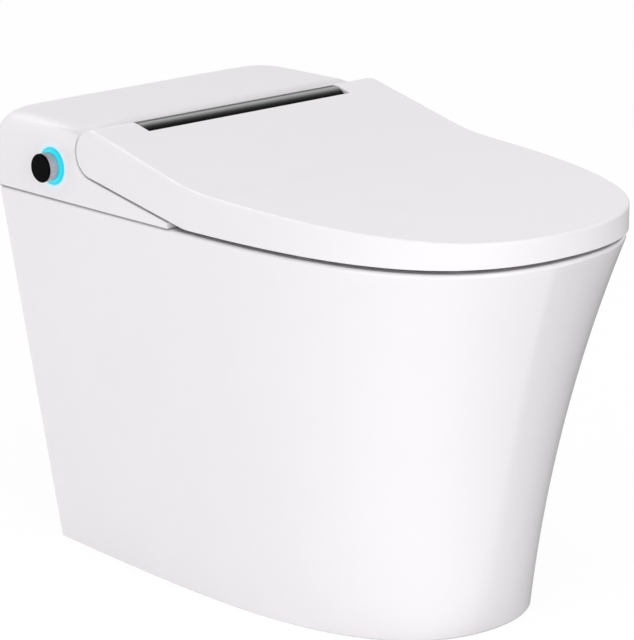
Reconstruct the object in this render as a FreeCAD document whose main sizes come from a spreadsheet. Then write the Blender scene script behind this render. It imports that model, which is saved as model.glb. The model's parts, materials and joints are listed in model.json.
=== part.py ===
import FreeCAD, Part
import math
import os
import re
import Sketcher
from FreeCAD import Placement, Rotation, Vector

os.makedirs("parts", exist_ok=True)
doc = FreeCAD.newDocument("smart_toilet")

# Driving dimensions in millimetres and degrees. The origin is on the floor at the
# centre of the soil outlet, +Y runs back to the wall and +Z up.
SIZES = {
    # china skirt: plan outline at the rim and at the foot, measured from the rear face
    "rim_height": 400,
    "rear_setback": 299,
    "rim_length": 635,
    "rim_half_mid": 199.7,
    "rim_rear_taper": 2.7,
    "rim_half_rear": "=rim_half_mid - rim_rear_taper",
    "rim_mid_reach": 315,
    "foot_draw_front": 94,
    "foot_draw_side": 52,
    "foot_draw_rear": 65.5,
    "foot_draw_back": 11.5,
    "foot_length": "=rim_length - foot_draw_front",
    "foot_half_mid": "=rim_half_mid - foot_draw_side",
    "foot_half_rear": "=rim_half_rear - foot_draw_rear",
    "foot_mid_reach": 291,
    "rim_fullness": 0.72,
    "foot_fullness": 0.663,
    "flare_share": 0.29,
    "flare_power": 2,
    "china_wall": 14,
    "rim_edge_round": 5,
    "rear_corner_round": 10,
    "service_width": 190,
    "service_low": 120,
    "service_drop": 34,
    # china deck and bowl
    "deck_depth": 16,
    "china_joint": 0.2,
    "bowl_lip_front": 44,
    "bowl_rear_reach": 215,
    "bowl_length": "=rim_length - bowl_lip_front - bowl_rear_reach",
    "bowl_side_land": 71.7,
    "bowl_half_width": "=rim_half_mid - bowl_side_land",
    "bowl_share": 0.625,
    "bowl_depth": "=rim_height * bowl_share",
    "bowl_wall": 13,
    "bowl_curve": 1.6,
    "waist_share": 0.4,
    "sump_half_length": 56,
    "sump_half_width": 42,
    "sump_shift": 34,
    "lip_round": 5,
    # trapway and outlet, with heights over the bottom of the bowl
    "trap_bore_dia": 52,
    "trap_wall": 8,
    "trap_bend": 40,
    "trap_entry": 36,
    "trap_entry_rise": 15,
    "weir_rise": 86,
    "weir_reach": 62,
    "fall_reach": 150,
    "fall_rise": 25,
    "drop_height": 70,
    "seal_depth": 14,
    "seal_bore_dia": 54,
    "seal_outer_dia": 110,
    # hinge line shared by the lid, the seat and the display barrel
    "hinge_from_rear": 158.5,
    "hinge_rise": 56.5,
    "pin_dia": 12,
    "pin_fit": 0.05,
    # lid
    "roll_radius": 25.5,
    "ramp_angle": 14,
    "top_fall": 16.1,
    "bend_reach": 306,
    "bend_run": 30,
    "lid_gap": 5,
    "lid_knee_reach": 293,
    "underside_break": 6,
    "lid_over_side": 1,
    "lid_over_front": 1,
    "lid_wall": 4,
    "lid_edge_round": 3.5,
    "arm_width": 55.4,
    "arm_inner": "=rim_half_rear - arm_width",
    "boss_inner": "=arm_inner + lug_gap + lug_width + lug_clear",
    "pin_depth": 28,
    "notch_reach": 23.5,
    "barrel_gap": 1.5,
    "lid_bumper_dia": 12,
    "lid_bumper_land": 59.7,
    "lid_bumper_back": 176,
    "lid_bumper_front_land": 119.7,
    "lid_bumper_front_back": 54,
    "soft_gap": 0.3,
    # display barrel between the lid arms
    "barrel_radius": 25,
    "barrel_wall": 3,
    "barrel_end_gap": 2,
    "barrel_half_length": "=arm_inner - barrel_end_gap",
    "damper_length": 56,
    "damper_fit": 0.2,
    "board_thick": 1.6,
    # seat
    "seat_inset": 9,
    "seat_headroom": 8,
    "seat_lift": 7.5,
    "seat_rear_reach": 187,
    "seat_knee_reach": 279,
    "seat_tail_rise": 25.5,
    "seat_tail_inset": 14,
    "seat_shell": 3.5,
    "seat_side_land": 94.7,
    "seat_front_land": 74,
    "seat_hole_reach": 271,
    "seat_hole_half_width": "=rim_half_mid - seat_side_land",
    "seat_hole_length": "=rim_length - seat_hole_reach - seat_front_land",
    "lug_gap": 4.4,
    "lug_clear": 1.5,
    "lug_width": 10,
    "lug_radius": 14,
    "heater_thick": 0.8,
    "heater_tail": 40,
    "seat_bumper_dia": 16,
    "seat_bumper_land": 41.7,
    "seat_bumper_back": 206,
    "seat_bumper_front_land": 104.7,
    "seat_bumper_front_back": 61,
    # rear cover
    "cover_height": 79,
    "cover_wall": 3,
    "cover_side_round": 22,
    "cover_rear_round": 2,
    "cover_corner_growth": 1.6,
    "cover_nose_round": 14,
    "cradle_gap": 1.6,
    "wedge_reach": 275,
    "wedge_tip": 6.5,
    "arm_thick": 11,
    "front_wall_reach": 187,
    "saddle_inset": 31.6,
    # chassis plate and tub inside the rear
    "bay_half_width": 120,
    "bay_front_reach": 174,
    "bay_rear_reach": 34,
    "tub_gap": 3,
    "tub_right": 56,
    "tub_depth": 84,
    "tub_wall": 3,
    "plate_thick": 4,
    "plate_inset": 21,
    "plate_half_width": "=rim_half_rear - plate_inset",
    "plate_front_reach": 179,
    "plate_rear_reach": 23,
    "shelf_thick": 3,
    "shelf_inset": 51,
    "shelf_left": "=plate_half_width - shelf_inset",
    "shelf_right": 62,
    "shelf_lap": 6,
    "screw_dia": 5,
    "screw_head_dia": 9.5,
    "screw_head": 3.5,
    "screw_length": 14,
    "screw_inset": 16,
    # water side
    "tank_width": 96,
    "tank_gap": 5,
    "tank_height": 74,
    "pump_dia": 54,
    "pump_length": 104,
    "pump_side": 22,
    "inlet_dia": 20.9,
    "inlet_length": 24,
    "inlet_side": -60,
    "inlet_drop": 52,
    "gland_dia": 16,
    "gland_side": 36,
    "valve_width": 32,
    "valve_depth": 64,
    "valve_height": 42,
    "valve_side": -36,
    "heater_width": 36,
    "heater_depth": 92,
    "heater_height": 42,
    "heater_side": 42,
    # electronics
    "supply_width": 64,
    "supply_depth": 70,
    "supply_height": 30,
    "supply_side": -88,
    "control_width": 84,
    "control_depth": 44,
    "control_lift": 8,
    "control_side": -78,
    "standoff_dia": 7,
    # warm air dryer and deodorizer
    "fan_side": 112,
    "fan_reach": 81,
    "fan_radius": 36,
    "fan_height": 36,
    "fan_wall": 2,
    "fan_eye_dia": 34,
    "wheel_radius": 28,
    "wheel_height": 22,
    "wheel_hub_dia": 14,
    "fan_shaft_dia": 4,
    "fan_motor_dia": 22,
    "fan_motor_height": 7,
    "blade_count": 18,
    "blade_length": 8,
    "blade_thick": 1.2,
    "duct_width": 36,
    "duct_height": 14,
    "duct_wall": 1.5,
    "duct_side": 104,
    "flap_thick": 1.6,
    "flap_gap": 0.5,
    "carbon_gap": 4,
    "carbon_depth": 36,
    "carbon_height": 18,
    "carbon_inset": 27,
    # washing wand
    "wand_dia": 12,
    "wand_length": 172,
    "wand_tilt": 9,
    "wand_rise": 12,
    "wand_fit": 0.06,
    "port_gap": 1,
    "tip_length": 16,
    "guide_width": 20,
    "guide_roof": 2,
    "guide_length": 78,
    "guide_setback": 47,
    "motor_reach": 113,
    "motor_dia": 24,
    "motor_length": 22,
    # side knob
    "knob_reach": 94,
    "knob_rise": 35,
    "ring_dia": 39,
    "ring_bore_dia": 30.4,
    "ring_proud": 0.8,
    "ring_depth": 7,
    "ring_fit": 0.2,
    "knob_dia": 29.6,
    "knob_gap": 2.6,
    "knob_length": 11.4,
    "knob_wall": 3,
    "cap_dia": 30,
    "cap_thick": 2.2,
    "stem_dia": 8,
    "stem_length": 26,
    "stem_fit": 0.05,
    "stem_shoulder_dia": 12,
    "encoder_dia": 24,
    "encoder_length": 14,
    "encoder_setback": 8,
    "bracket_width": 30,
    "bracket_thick": 3,
}
sheet = doc.addObject("Spreadsheet::Sheet", "Sizes")
for row, alias in enumerate(SIZES, start=1):
    sheet.set("A%d" % row, alias)
    sheet.setAlias("B%d" % row, alias)
for row, number in enumerate(SIZES.values(), start=1):
    sheet.set("B%d" % row, str(number))
doc.recompute()


def tied(text):
    """Write a size expression with each named size read from the sheet."""
    return re.sub(r"\b[a-z][a-z0-9_]+\b(?!\()", lambda word: "Sizes." + word.group(0), text)


def size(text):
    """The present value of a size expression."""
    return float(sheet.evalExpression(tied(text)))


def bind(item, **texts):
    """Tie properties of a document object to size expressions."""
    for name, text in texts.items():
        item.setExpression(name, tied(text))


AXIS_TURNS = {
    "x": Rotation(Vector(0, 1, 0), 90),
    "y": Rotation(Vector(1, 0, 0), -90),
    "z": Rotation(),
    "wand": Rotation(Vector(1, 0, 0), size("wand_tilt") - 90),
    "-x": Rotation(Vector(0, 1, 0), -90),
    "-y": Rotation(Vector(1, 0, 0), 90),
    "-z": Rotation(Vector(1, 0, 0), 180),
}


def put(item, at, turn=Rotation()):
    """Place an object with its base point tied to size expressions."""
    item.Placement = Placement(Vector(*[size(text) for text in at]), turn)
    for letter, text in zip("xyz", at):
        item.setExpression("Placement.Base." + letter, tied(text))
    return item


def block(name, at, spans):
    """A box from its low corner and its three spans."""
    box = doc.addObject("Part::Box", name)
    bind(box, Length=spans[0], Width=spans[1], Height=spans[2])
    return put(box, at)


def rod(name, radius, length, at, axis="z"):
    """A cylinder that starts at a point and runs along an axis."""
    cylinder = doc.addObject("Part::Cylinder", name)
    bind(cylinder, Radius=radius, Height=length)
    return put(cylinder, at, AXIS_TURNS[axis])


def joined(name, pieces):
    """Several solids as one."""
    fuse = doc.addObject("Part::MultiFuse", name)
    fuse.Shapes = pieces
    fuse.Refine = True
    return fuse


def group(name, pieces):
    """Several separate solids that share one node."""
    compound = doc.addObject("Part::Compound", name)
    compound.Links = pieces
    return compound


def less(name, base, tool):
    """One solid with another taken away."""
    cut = doc.addObject("Part::Cut", name)
    cut.Base = base
    cut.Tool = tool
    return cut


def formed(name, shape):
    """A sculpted solid whose shape comes from the outline functions."""
    feature = doc.addObject("Part::Feature", name)
    feature.Shape = shape
    feature.Placement = Placement()
    return feature


def outline_sketch(body, name, role, corners):
    """A closed sketch on an origin plane; each corner is a pair of size expressions."""
    sketch = body.newObject("Sketcher::SketchObject", name)
    plane = [item for item in body.Origin.OriginFeatures if item.Role == role][0]
    sketch.AttachmentSupport = (plane, [""])
    sketch.MapMode = "FlatFace"
    points = [Vector(size(across), size(along), 0) for across, along in corners]
    count = len(points)
    for index in range(count):
        sketch.addGeometry(Part.LineSegment(points[index], points[(index + 1) % count]), False)
    for index in range(count):
        sketch.addConstraint(Sketcher.Constraint("Coincident", index, 2, (index + 1) % count, 1))
    for index, corner in enumerate(corners):
        for kind, text, axis in zip(("DistanceX", "DistanceY"), corner, (-2, -1)):
            if text == "0":
                sketch.addConstraint(Sketcher.Constraint("PointOnObject", index, 1, axis))
                continue
            number = sketch.addConstraint(Sketcher.Constraint(kind, -1, 1, index, 1, size(text)))
            sketch.setExpression("Constraints[%d]" % number, tied(text))
    return sketch


def turned(name, corners, at, axis):
    """A turned piece: corners are radius and distance along the turning axis."""
    body = doc.addObject("PartDesign::Body", name)
    sketch = outline_sketch(body, name + "_section", "XZ_Plane", corners)
    turn = body.newObject("PartDesign::Revolution", name + "_turn")
    turn.Profile = (sketch, [""])
    turn.ReferenceAxis = (sketch, ["V_Axis"])
    turn.Angle = 360
    return put(body, at, AXIS_TURNS[axis])


# Levels and lines that several pieces share
RIM = size("rim_height")
REAR = size("rear_setback")
HINGE_Y = size("rear_setback - hinge_from_rear")
HINGE_Z = size("rim_height + hinge_rise")
HINGE = ("rear_setback - hinge_from_rear", "rim_height + hinge_rise")
PLATE_TOP = "rim_height + plate_thick"
SCREW_LINES = {
    "front": "rear_setback - plate_front_reach + screw_head_dia",
    "rear": "rear_setback - plate_rear_reach - screw_head_dia",
}
BEYOND = 60


def bezier(*poles):
    """A Bezier edge from its poles."""
    curve = Part.BezierCurve()
    curve.setPoles(list(poles))
    return curve.toShape()


def half_outline(half_rear, half_mid, rear, mid, tip, full, level, turn):
    """One side of a plan outline: a rounded rear corner, a swelling side, a full front."""
    third = (rear - turn - mid) / 3
    swell = half_rear + (half_mid - half_rear) / 2
    corner = bezier(
        Vector(half_rear - turn, rear, level),
        Vector(half_rear, rear, level),
        Vector(half_rear, rear - turn, level),
    )
    side = bezier(
        Vector(half_rear, rear - turn, level),
        Vector(swell, rear - turn - third, level),
        Vector(half_mid, mid + third, level),
        Vector(half_mid, mid, level),
    )
    front = bezier(
        Vector(half_mid, mid, level),
        Vector(half_mid, mid + (tip - mid) * full, level),
        Vector(half_mid * full, tip, level),
        Vector(0, tip, level),
    )
    return [corner, side, front]


def outline_wire(half):
    """A closed plan outline from its +X half."""
    other = [edge.mirror(Vector(), Vector(1, 0, 0)) for edge in half]
    corner = half[0].Vertexes[0].Point
    rear = Part.LineSegment(Vector(-corner.x, corner.y, corner.z), corner).toShape()
    return Part.Wire(Part.__sortEdges__([rear] + half + other))


def china_section(share, inset):
    """Plan outline of the china at a share of its height, drawn in by an inset."""
    rise = max(share, 0)
    flare = size("flare_share") * rise + (1 - size("flare_share")) * rise ** size("flare_power")
    blend = lambda low, high, part: size(low) + (size(high) - size(low)) * part
    half = half_outline(
        blend("foot_half_rear", "rim_half_rear", share) - inset,
        blend("foot_half_mid", "rim_half_mid", share) - inset,
        REAR - inset - size("foot_draw_back") * (1 - share),
        REAR - blend("foot_mid_reach", "rim_mid_reach", share),
        REAR - blend("foot_length", "rim_length", flare) + inset,
        blend("foot_fullness", "rim_fullness", rise ** size("flare_power")),
        RIM * share,
        size("rear_corner_round"),
    )
    return outline_wire(half)


def china_loft(inset, low, high, steps, straight=False):
    """The lofted china form between two shares of its height, smooth or in straight bands."""
    shares = [low + (high - low) * step / steps for step in range(steps + 1)]
    return Part.makeLoft([china_section(share, inset) for share in shares], True, straight)


def plan_wire(inset, over_side, over_front, level, turn):
    """The rim outline at a level, drawn in or let out, with a rear corner of its own."""
    half = half_outline(
        size("rim_half_rear") + over_side - inset,
        size("rim_half_mid") + over_side - inset,
        REAR - inset,
        REAR - size("rim_mid_reach"),
        REAR - size("rim_length") - over_front + inset,
        size("rim_fullness"),
        level,
        turn,
    )
    return outline_wire(half)


def plan_prism(inset, over_side, over_front, low, high):
    """An upright prism on the rim outline, drawn in or let out."""
    face = Part.Face(plan_wire(inset, over_side, over_front, low, size("rear_corner_round")))
    return face.extrude(Vector(0, 0, high - low))


def egg_wire(centre, half_length, half_width, level):
    """A closed oval about a centre on the middle plane, in four quarter curves."""
    pull = 0.5523
    hub = Vector(0, centre, level)
    quarters = []
    for step in range(4):
        turn = math.radians(90 * step)
        across = Vector(math.cos(turn) * half_width, math.sin(turn) * half_length, 0)
        along = Vector(-math.sin(turn) * half_width, math.cos(turn) * half_length, 0)
        first_pull = hub + across + along * pull
        last_pull = hub + along + across * pull
        quarters.append(bezier(hub + across, first_pull, last_pull, hub + along))
    return Part.Wire(quarters)


def rounded(shape, radius, chosen):
    """A shape with the chosen edges rounded."""
    return shape.makeFillet(radius, [edge for edge in shape.Edges if chosen(edge.BoundBox)])


def slab(low_x, high_x, low_y, high_y, low_z, high_z):
    """A plain block between limits, for cutting sculpted shapes."""
    return Part.makeBox(high_x - low_x, high_y - low_y, high_z - low_z, Vector(low_x, low_y, low_z))


def cross_rod(radius, low_x, high_x):
    """A cylinder on the hinge line between two stations."""
    return Part.makeCylinder(radius, high_x - low_x, Vector(low_x, HINGE_Y, HINGE_Z), Vector(1, 0, 0))


def side_prism(edges, half_width):
    """A side profile drawn out across the width."""
    face = Part.Face(Part.Wire(Part.__sortEdges__(edges)))
    face.translate(Vector(-half_width, 0, 0))
    return face.extrude(Vector(2 * half_width, 0, 0))


def lines(points):
    """Straight edges through a row of points."""
    return [Part.LineSegment(a, b).toShape() for a, b in zip(points, points[1:])]


def at(y, z):
    """A point of a side profile."""
    return Vector(0, y, z)


def on_roll(radius, angle):
    """A point about the hinge line; angles run from straight up towards the rear."""
    turn = math.radians(angle)
    return at(HINGE_Y + radius * math.sin(turn), HINGE_Z + radius * math.cos(turn))


def both_sides(shape):
    """A shape with its mirror twin across the middle plane."""
    return shape.fuse(shape.mirror(Vector(), Vector(1, 0, 0)))


# China: outer skirt with an open foot, an open top and a service opening in the rear
def rim_cap():
    """The top of the china with its edge rounded off in bands."""
    round_off = size("rim_edge_round")
    sections = []
    for step in range(4):
        turn = math.radians(30 * step)
        drop = round_off * (1 - math.sin(turn))
        sections.append(china_section(1 - drop / RIM, round_off * (1 - math.cos(turn))))
    return Part.makeLoft(sections, True, True)


def make_skirt():
    shoulder = 1 - size("rim_edge_round / rim_height")
    outer = china_loft(0, 0, shoulder, 4).fuse(rim_cap())
    inner = china_loft(size("china_wall"), -0.02, 1.02, 3, straight=True)
    half = size("service_width / 2")
    service = slab(-half, half, REAR - 2 * size("china_wall"), REAR + 1, size("service_low"),
                   RIM - size("service_drop"))
    return outer.cut(inner).cut(service)


def bowl_centre():
    return REAR - size("rim_length") + size("bowl_lip_front") + size("bowl_length / 2")


def trap_path():
    """The trapway's middle line: up over the weir, then down and forward to the outlet."""
    bottom = RIM - size("bowl_depth")
    corners = [
        at(bowl_centre() + size("sump_shift + trap_entry"), bottom + size("trap_entry_rise")),
        at(size("weir_reach"), bottom + size("weir_rise")),
        at(size("fall_reach"), bottom + size("fall_rise")),
        at(0, size("drop_height")),
        at(0, size("seal_depth")),
    ]
    points = corners[:1]
    for before, corner, after in zip(corners, corners[1:], corners[2:]):
        inward = (before - corner).normalize()
        outward = (after - corner).normalize()
        half_turn = (math.pi - inward.getAngle(outward)) / 2
        bend = size("trap_bend")
        hub = corner + (inward + outward).normalize() * (bend / math.cos(half_turn))
        spoke = corner + inward * bend * math.tan(half_turn) - hub
        pivot = (-inward).cross(outward)
        steps = math.ceil(math.degrees(2 * half_turn) / 22)
        for step in range(steps + 1):
            turn = Rotation(pivot, math.degrees(2 * half_turn) * step / steps)
            points.append(hub + turn.multVec(spoke))
    return points + corners[-1:]


def trap_tube(radius):
    """The trapway's run at a radius, with its bends in short straight lengths."""
    points = trap_path()
    ring = Part.Wire(Part.makeCircle(radius, points[0], points[1] - points[0]))
    return Part.Wire(lines(points)).makePipeShell([ring], True, False, 1)


def bowl_form(wall, top):
    """The bowl's egg-shaped hollow, or its plainer outside when a wall is added."""
    half = size("bowl_length / 2")
    deep = size("bowl_depth") + wall
    sections = []
    for step in range(5):
        share = step / 4
        narrow = share ** size("bowl_curve")
        length = half + (size("sump_half_length") - half) * narrow + wall
        width = size("bowl_half_width") + (size("sump_half_width") - size("bowl_half_width")) * narrow + wall
        level = RIM + top - (deep + top) * share
        sections.append(egg_wire(bowl_centre() + size("sump_shift") * share, length, width, level))
    return Part.makeLoft(sections, True, wall > 0)


def lip_flare():
    """The rounded lip of the bowl's mouth, in bands."""
    radius = size("lip_round")
    sections = []
    for step in range(4):
        turn = math.radians(30 * step)
        out = radius * (1 - math.cos(turn))
        level = RIM - radius * (1 - math.sin(turn))
        length = size("bowl_length / 2") + out
        sections.append(egg_wire(bowl_centre(), length, size("bowl_half_width") + out, level))
    return Part.makeLoft(sections, True, True)


def bay_limits(gap):
    half = size("bay_half_width") - gap
    return (-half, half, REAR - size("bay_front_reach") + gap, REAR - size("bay_rear_reach") - gap)


def make_deck():
    """The flat top of the china round the bowl's mouth and the rear bay."""
    low = RIM - size("deck_depth")
    deck = china_loft(size("china_wall + china_joint"), 0.94, 1.02, 1, straight=True)
    deck = deck.common(slab(-BEYOND * 5, BEYOND * 5, -BEYOND * 9, REAR, low, RIM))
    deck = deck.cut(bowl_form(0, 1)).cut(lip_flare()).cut(slab(*bay_limits(0), low - 1, RIM + 1))
    for across in (size("plate_half_width - screw_inset"), size("screw_inset - plate_half_width")):
        for along in SCREW_LINES.values():
            foot = Vector(across, size(along), size(PLATE_TOP) - size("screw_length"))
            deck = deck.cut(Part.makeCylinder(size("screw_dia / 2 + pin_fit"), BEYOND, foot))
    return deck


def bowl_shell(low, high):
    """The wall of the bowl between two levels, with the throat of the trapway in its rear."""
    shell = bowl_form(size("bowl_wall"), -size("deck_depth / 2")).cut(bowl_form(0, 1))
    shell = shell.common(slab(-BEYOND * 5, BEYOND * 5, -BEYOND * 9, REAR, low, high))
    return shell.cut(trap_tube(size("trap_bore_dia / 2")))


def make_trapway():
    tube = trap_tube(size("trap_bore_dia / 2 + trap_wall"))
    solid = tube.cut(trap_tube(size("trap_bore_dia / 2")))
    solid = solid.cut(bowl_form(size("bowl_wall"), -size("deck_depth / 2")))
    return max(solid.Solids, key=lambda piece: piece.Volume)


formed("ceramic_skirt", make_skirt())
formed("ceramic_deck", make_deck())
bowl_waist = RIM - size("bowl_depth * waist_share")
formed("ceramic_bowl", bowl_shell(bowl_waist, RIM - size("deck_depth + china_joint")))
formed("ceramic_sump", bowl_shell(0, bowl_waist - size("china_joint")))
formed("trapway", make_trapway())

# Outlet: a rubber ring between the trapway and the floor pipe
turned("outlet_seal", [
    ("seal_bore_dia / 2", "0"),
    ("seal_outer_dia / 2", "0"),
    ("seal_outer_dia / 2", "seal_depth / 2"),
    ("trap_bore_dia / 2 + trap_wall", "seal_depth"),
    ("seal_bore_dia / 2", "seal_depth"),
], ("0", "0", "0"), "z")


# Lid: a ramp rising to the hinge roll, drawn from one side profile and the rim outline
def flat_slope():
    """The slight fall of the lid's front part, as an angle."""
    return math.atan(size("top_fall / (rim_length - bend_reach)"))


def top_line(drop):
    """Slopes of the lid top, lowered by a drop: crossing point and the two tangents."""
    ramp = math.radians(size("ramp_angle"))
    flat = flat_slope()
    start = on_roll(size("roll_radius"), -size("ramp_angle"))
    bend_y = REAR - size("bend_reach")
    bend_z = start.z - math.tan(ramp) * (start.y - bend_y)
    sink = drop / math.cos(ramp) - drop / math.cos(flat)
    shift = sink / (math.tan(ramp) - math.tan(flat))
    crossing = at(bend_y + shift, bend_z - drop / math.cos(flat) + math.tan(flat) * shift)
    return crossing, at(math.cos(ramp), math.sin(ramp)), at(math.cos(flat), math.sin(flat))


def top_point(drop, y):
    crossing, ramp, flat = top_line(drop)
    slope = ramp if y > crossing.y else flat
    return at(y, crossing.z + (y - crossing.y) * slope.z / slope.y)


def top_edges(drop, front, rear):
    """The lid's top line between two stations, with its bend as an arc."""
    crossing, ramp, flat = top_line(drop)
    run = size("bend_run")
    behind = crossing + ramp * run
    ahead = crossing - flat * run
    turn = math.radians(size("ramp_angle")) - flat_slope()
    radius = run / math.tan(turn / 2)
    hub = behind + at(-ramp.z, ramp.y) * radius
    middle = hub + (crossing - hub).normalize() * radius
    first = lines([top_point(drop, front), ahead])
    last = lines([behind, top_point(drop, rear)])
    return first + [Part.Arc(ahead, middle, behind).toShape()] + last


FRONT = REAR - size("rim_length") - BEYOND
LID_LOW = RIM + size("lid_gap")


def lid_profile():
    roll = size("roll_radius")
    crest = on_roll(roll, -size("ramp_angle"))
    under = on_roll(roll, 180 - size("underside_break"))
    knee = at(REAR - size("lid_knee_reach"), LID_LOW)
    edges = top_edges(0, FRONT, crest.y)
    edges.append(Part.Arc(crest, on_roll(roll, 90), under).toShape())
    return edges + lines([under, knee, at(FRONT, LID_LOW), top_point(0, FRONT)])


def band_profile(high, low, front, rear):
    """A layer under the lid top between two drops."""
    edges = top_edges(high, front, rear) + top_edges(low, front, rear)
    edges += lines([top_point(high, front), top_point(low, front)])
    return edges + lines([top_point(high, rear), top_point(low, rear)])


def under_profile(drop, front, rear, level):
    """Everything under the lid top, lowered by a drop, down to a level."""
    edges = top_edges(drop, front, rear)
    return edges + lines([top_point(drop, rear), at(rear, level), at(front, level), top_point(drop, front)])


def lid_slot(low_x, high_x):
    """Room in the lid roll for a seat lug at every opening angle."""
    reach = size("roll_radius + lid_wall / 2")
    inside = cross_rod(size("roll_radius - lid_wall"), low_x, high_x)
    points = [at(HINGE_Y, HINGE_Z)] + [on_roll(reach, angle) for angle in range(100, 301, 25)]
    face = Part.Face(Part.Wire(lines(points + points[:1])))
    face.translate(Vector(low_x, 0, 0))
    return inside.fuse(face.extrude(Vector(high_x - low_x, 0, 0)))


def make_lid():
    width = size("rim_half_mid") + BEYOND
    over = (size("lid_over_side"), size("lid_over_front"))
    low = LID_LOW - BEYOND
    high = HINGE_Z + BEYOND
    wall = size("lid_wall")
    outer = side_prism(lid_profile(), width).common(plan_prism(0, *over, low, high))
    outer = rounded(outer, size("lid_edge_round"), lambda box: box.ZMax > RIM + size("lid_gap") + wall and
                    box.XMax * box.XMin >= 0 and abs(box.XMax + box.XMin) > 1)
    cavity = side_prism(under_profile(wall, FRONT, HINGE_Y, low), width)
    cavity = cavity.common(plan_prism(wall, *over, low, high))
    cavity = cavity.cut(cross_rod(size("roll_radius"), -width, width))
    arm = size("arm_inner")
    notch = slab(-arm, arm, HINGE_Y - size("notch_reach"), REAR, low, high)
    barrel = cross_rod(size("barrel_radius + barrel_gap"), -arm, arm)
    slot = both_sides(lid_slot(arm - 1, size("boss_inner")))
    bore = both_sides(cross_rod(size("pin_dia / 2 + pin_fit"), arm, size("boss_inner + pin_depth")))
    return outer.cut(cavity).cut(notch).cut(barrel).cut(slot).cut(bore)


def lid_pads():
    """Rubber pads between the lid and the seat, each its own solid."""
    radius = size("lid_bumper_dia / 2")
    layer = side_prism(
        band_profile(size("lid_wall"), size("lid_wall + seat_headroom - soft_gap"), FRONT, HINGE_Y),
        size("rim_half_mid"))
    spots = [
        (size("rim_half_mid - lid_bumper_land"), REAR - size("rim_length - lid_bumper_back")),
        (size("rim_half_mid - lid_bumper_front_land"), REAR - size("rim_length - lid_bumper_front_back")),
    ]
    pads = []
    for x, y in spots:
        for side in (-1, 1):
            post = Part.makeCylinder(radius, BEYOND * 2, Vector(side * x, y, RIM))
            pads.append(post.common(layer))
    return Part.makeCompound([pad.Solids[0] for pad in pads])


formed("lid_shell", make_lid())
formed("lid_bumpers", lid_pads())


# Seat: a heated ring of an upper shell and a lower plate, with a lug on each side
SEAT_LOW = RIM + size("seat_lift")
SEAT_REAR = REAR - size("seat_rear_reach")


def seat_ring(inset, low, high):
    """The seat's plan between its outer edge and its opening."""
    over = (size("lid_over_side"), size("lid_over_front"))
    ring = plan_prism(size("seat_inset") + inset, *over, low, high)
    half = size("seat_hole_length / 2")
    centre = REAR - size("seat_hole_reach") - half
    hole = Part.Face(egg_wire(centre, half + inset, size("seat_hole_half_width") + inset, low))
    ring = ring.cut(hole.extrude(Vector(0, 0, high - low)))
    tail = size("rim_half_rear - seat_tail_inset") - inset
    knee = REAR - size("seat_knee_reach")
    sides = slab(tail, tail + BEYOND, knee, REAR + 1, low, high)
    return ring.cut(both_sides(sides))


def seat_under(lift):
    """The seat's lower line, raised by a lift, from the tail to the front."""
    knee = REAR - size("seat_knee_reach")
    tail = RIM + size("seat_tail_rise")
    return [at(SEAT_REAR, tail + lift), at(knee, SEAT_LOW + lift), at(FRONT, SEAT_LOW + lift)]


def seat_profile(drop, lift, trim):
    rear = SEAT_REAR - trim
    top = size("lid_wall + seat_headroom") + drop
    under = seat_under(lift)
    slope = (under[0].z - under[1].z) / (under[0].y - under[1].y)
    tail = at(rear, under[0].z - slope * trim)
    edges = top_edges(top, FRONT, rear)
    return edges + lines([top_point(top, rear), tail, under[1], under[2], top_point(top, FRONT)])


def seat_lug():
    """A hinge lug with its web to the seat's rear wall."""
    inner = size("arm_inner + lug_gap")
    wide = size("lug_width")
    radius = size("lug_radius")
    points = [
        on_roll(radius, 0),
        at(SEAT_REAR, HINGE_Z + radius / 2),
        at(SEAT_REAR, RIM + size("seat_tail_rise + seat_shell")),
        on_roll(radius, 180),
    ]
    web = Part.Face(Part.Wire(lines(points + points[:1])))
    web.translate(Vector(inner, 0, 0))
    lug = web.extrude(Vector(wide, 0, 0)).fuse(cross_rod(radius, inner, inner + wide))
    return lug.cut(cross_rod(size("pin_dia / 2 + pin_fit"), inner - 1, inner + wide + 1)).removeSplitter()


def make_seat_top():
    width = size("rim_half_mid")
    shell = size("seat_shell")
    low = RIM - BEYOND
    high = HINGE_Z + BEYOND
    outer = side_prism(seat_profile(0, shell, 0), width).common(seat_ring(0, low, high))
    inner = side_prism(seat_profile(shell, 0, shell), width).common(seat_ring(shell, low, high))
    return outer.cut(inner).fuse(both_sides(seat_lug())).removeSplitter()


def make_seat_base():
    width = size("rim_half_mid")
    points = seat_under(0) + seat_under(size("seat_shell"))[::-1]
    layer = side_prism(lines(points + points[:1]), width)
    return layer.common(seat_ring(0, RIM - BEYOND, HINGE_Z + BEYOND))


def make_seat_heater():
    top = size("lid_wall + seat_headroom + seat_shell")
    rear = SEAT_REAR - size("heater_tail")
    layer = side_prism(band_profile(top, top + size("heater_thick"), FRONT, rear), size("rim_half_mid"))
    return layer.common(seat_ring(size("seat_shell + soft_gap"), RIM - BEYOND, HINGE_Z + BEYOND))


formed("seat_top", make_seat_top())
formed("seat_base", make_seat_base())
formed("seat_heater", make_seat_heater())
pads = []
for side, hand in ((1, "right"), (-1, "left")):
    for place in ("seat_bumper", "seat_bumper_front"):
        across = "%d * (rim_half_mid - %s_land)" % (side, place)
        along = "rear_setback - rim_length + %s_back" % place
        pads.append(rod(place + "_" + hand, "seat_bumper_dia / 2", "seat_lift - soft_gap",
                        (across, along, "rim_height + soft_gap")))
group("seat_bumpers", pads)


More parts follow.
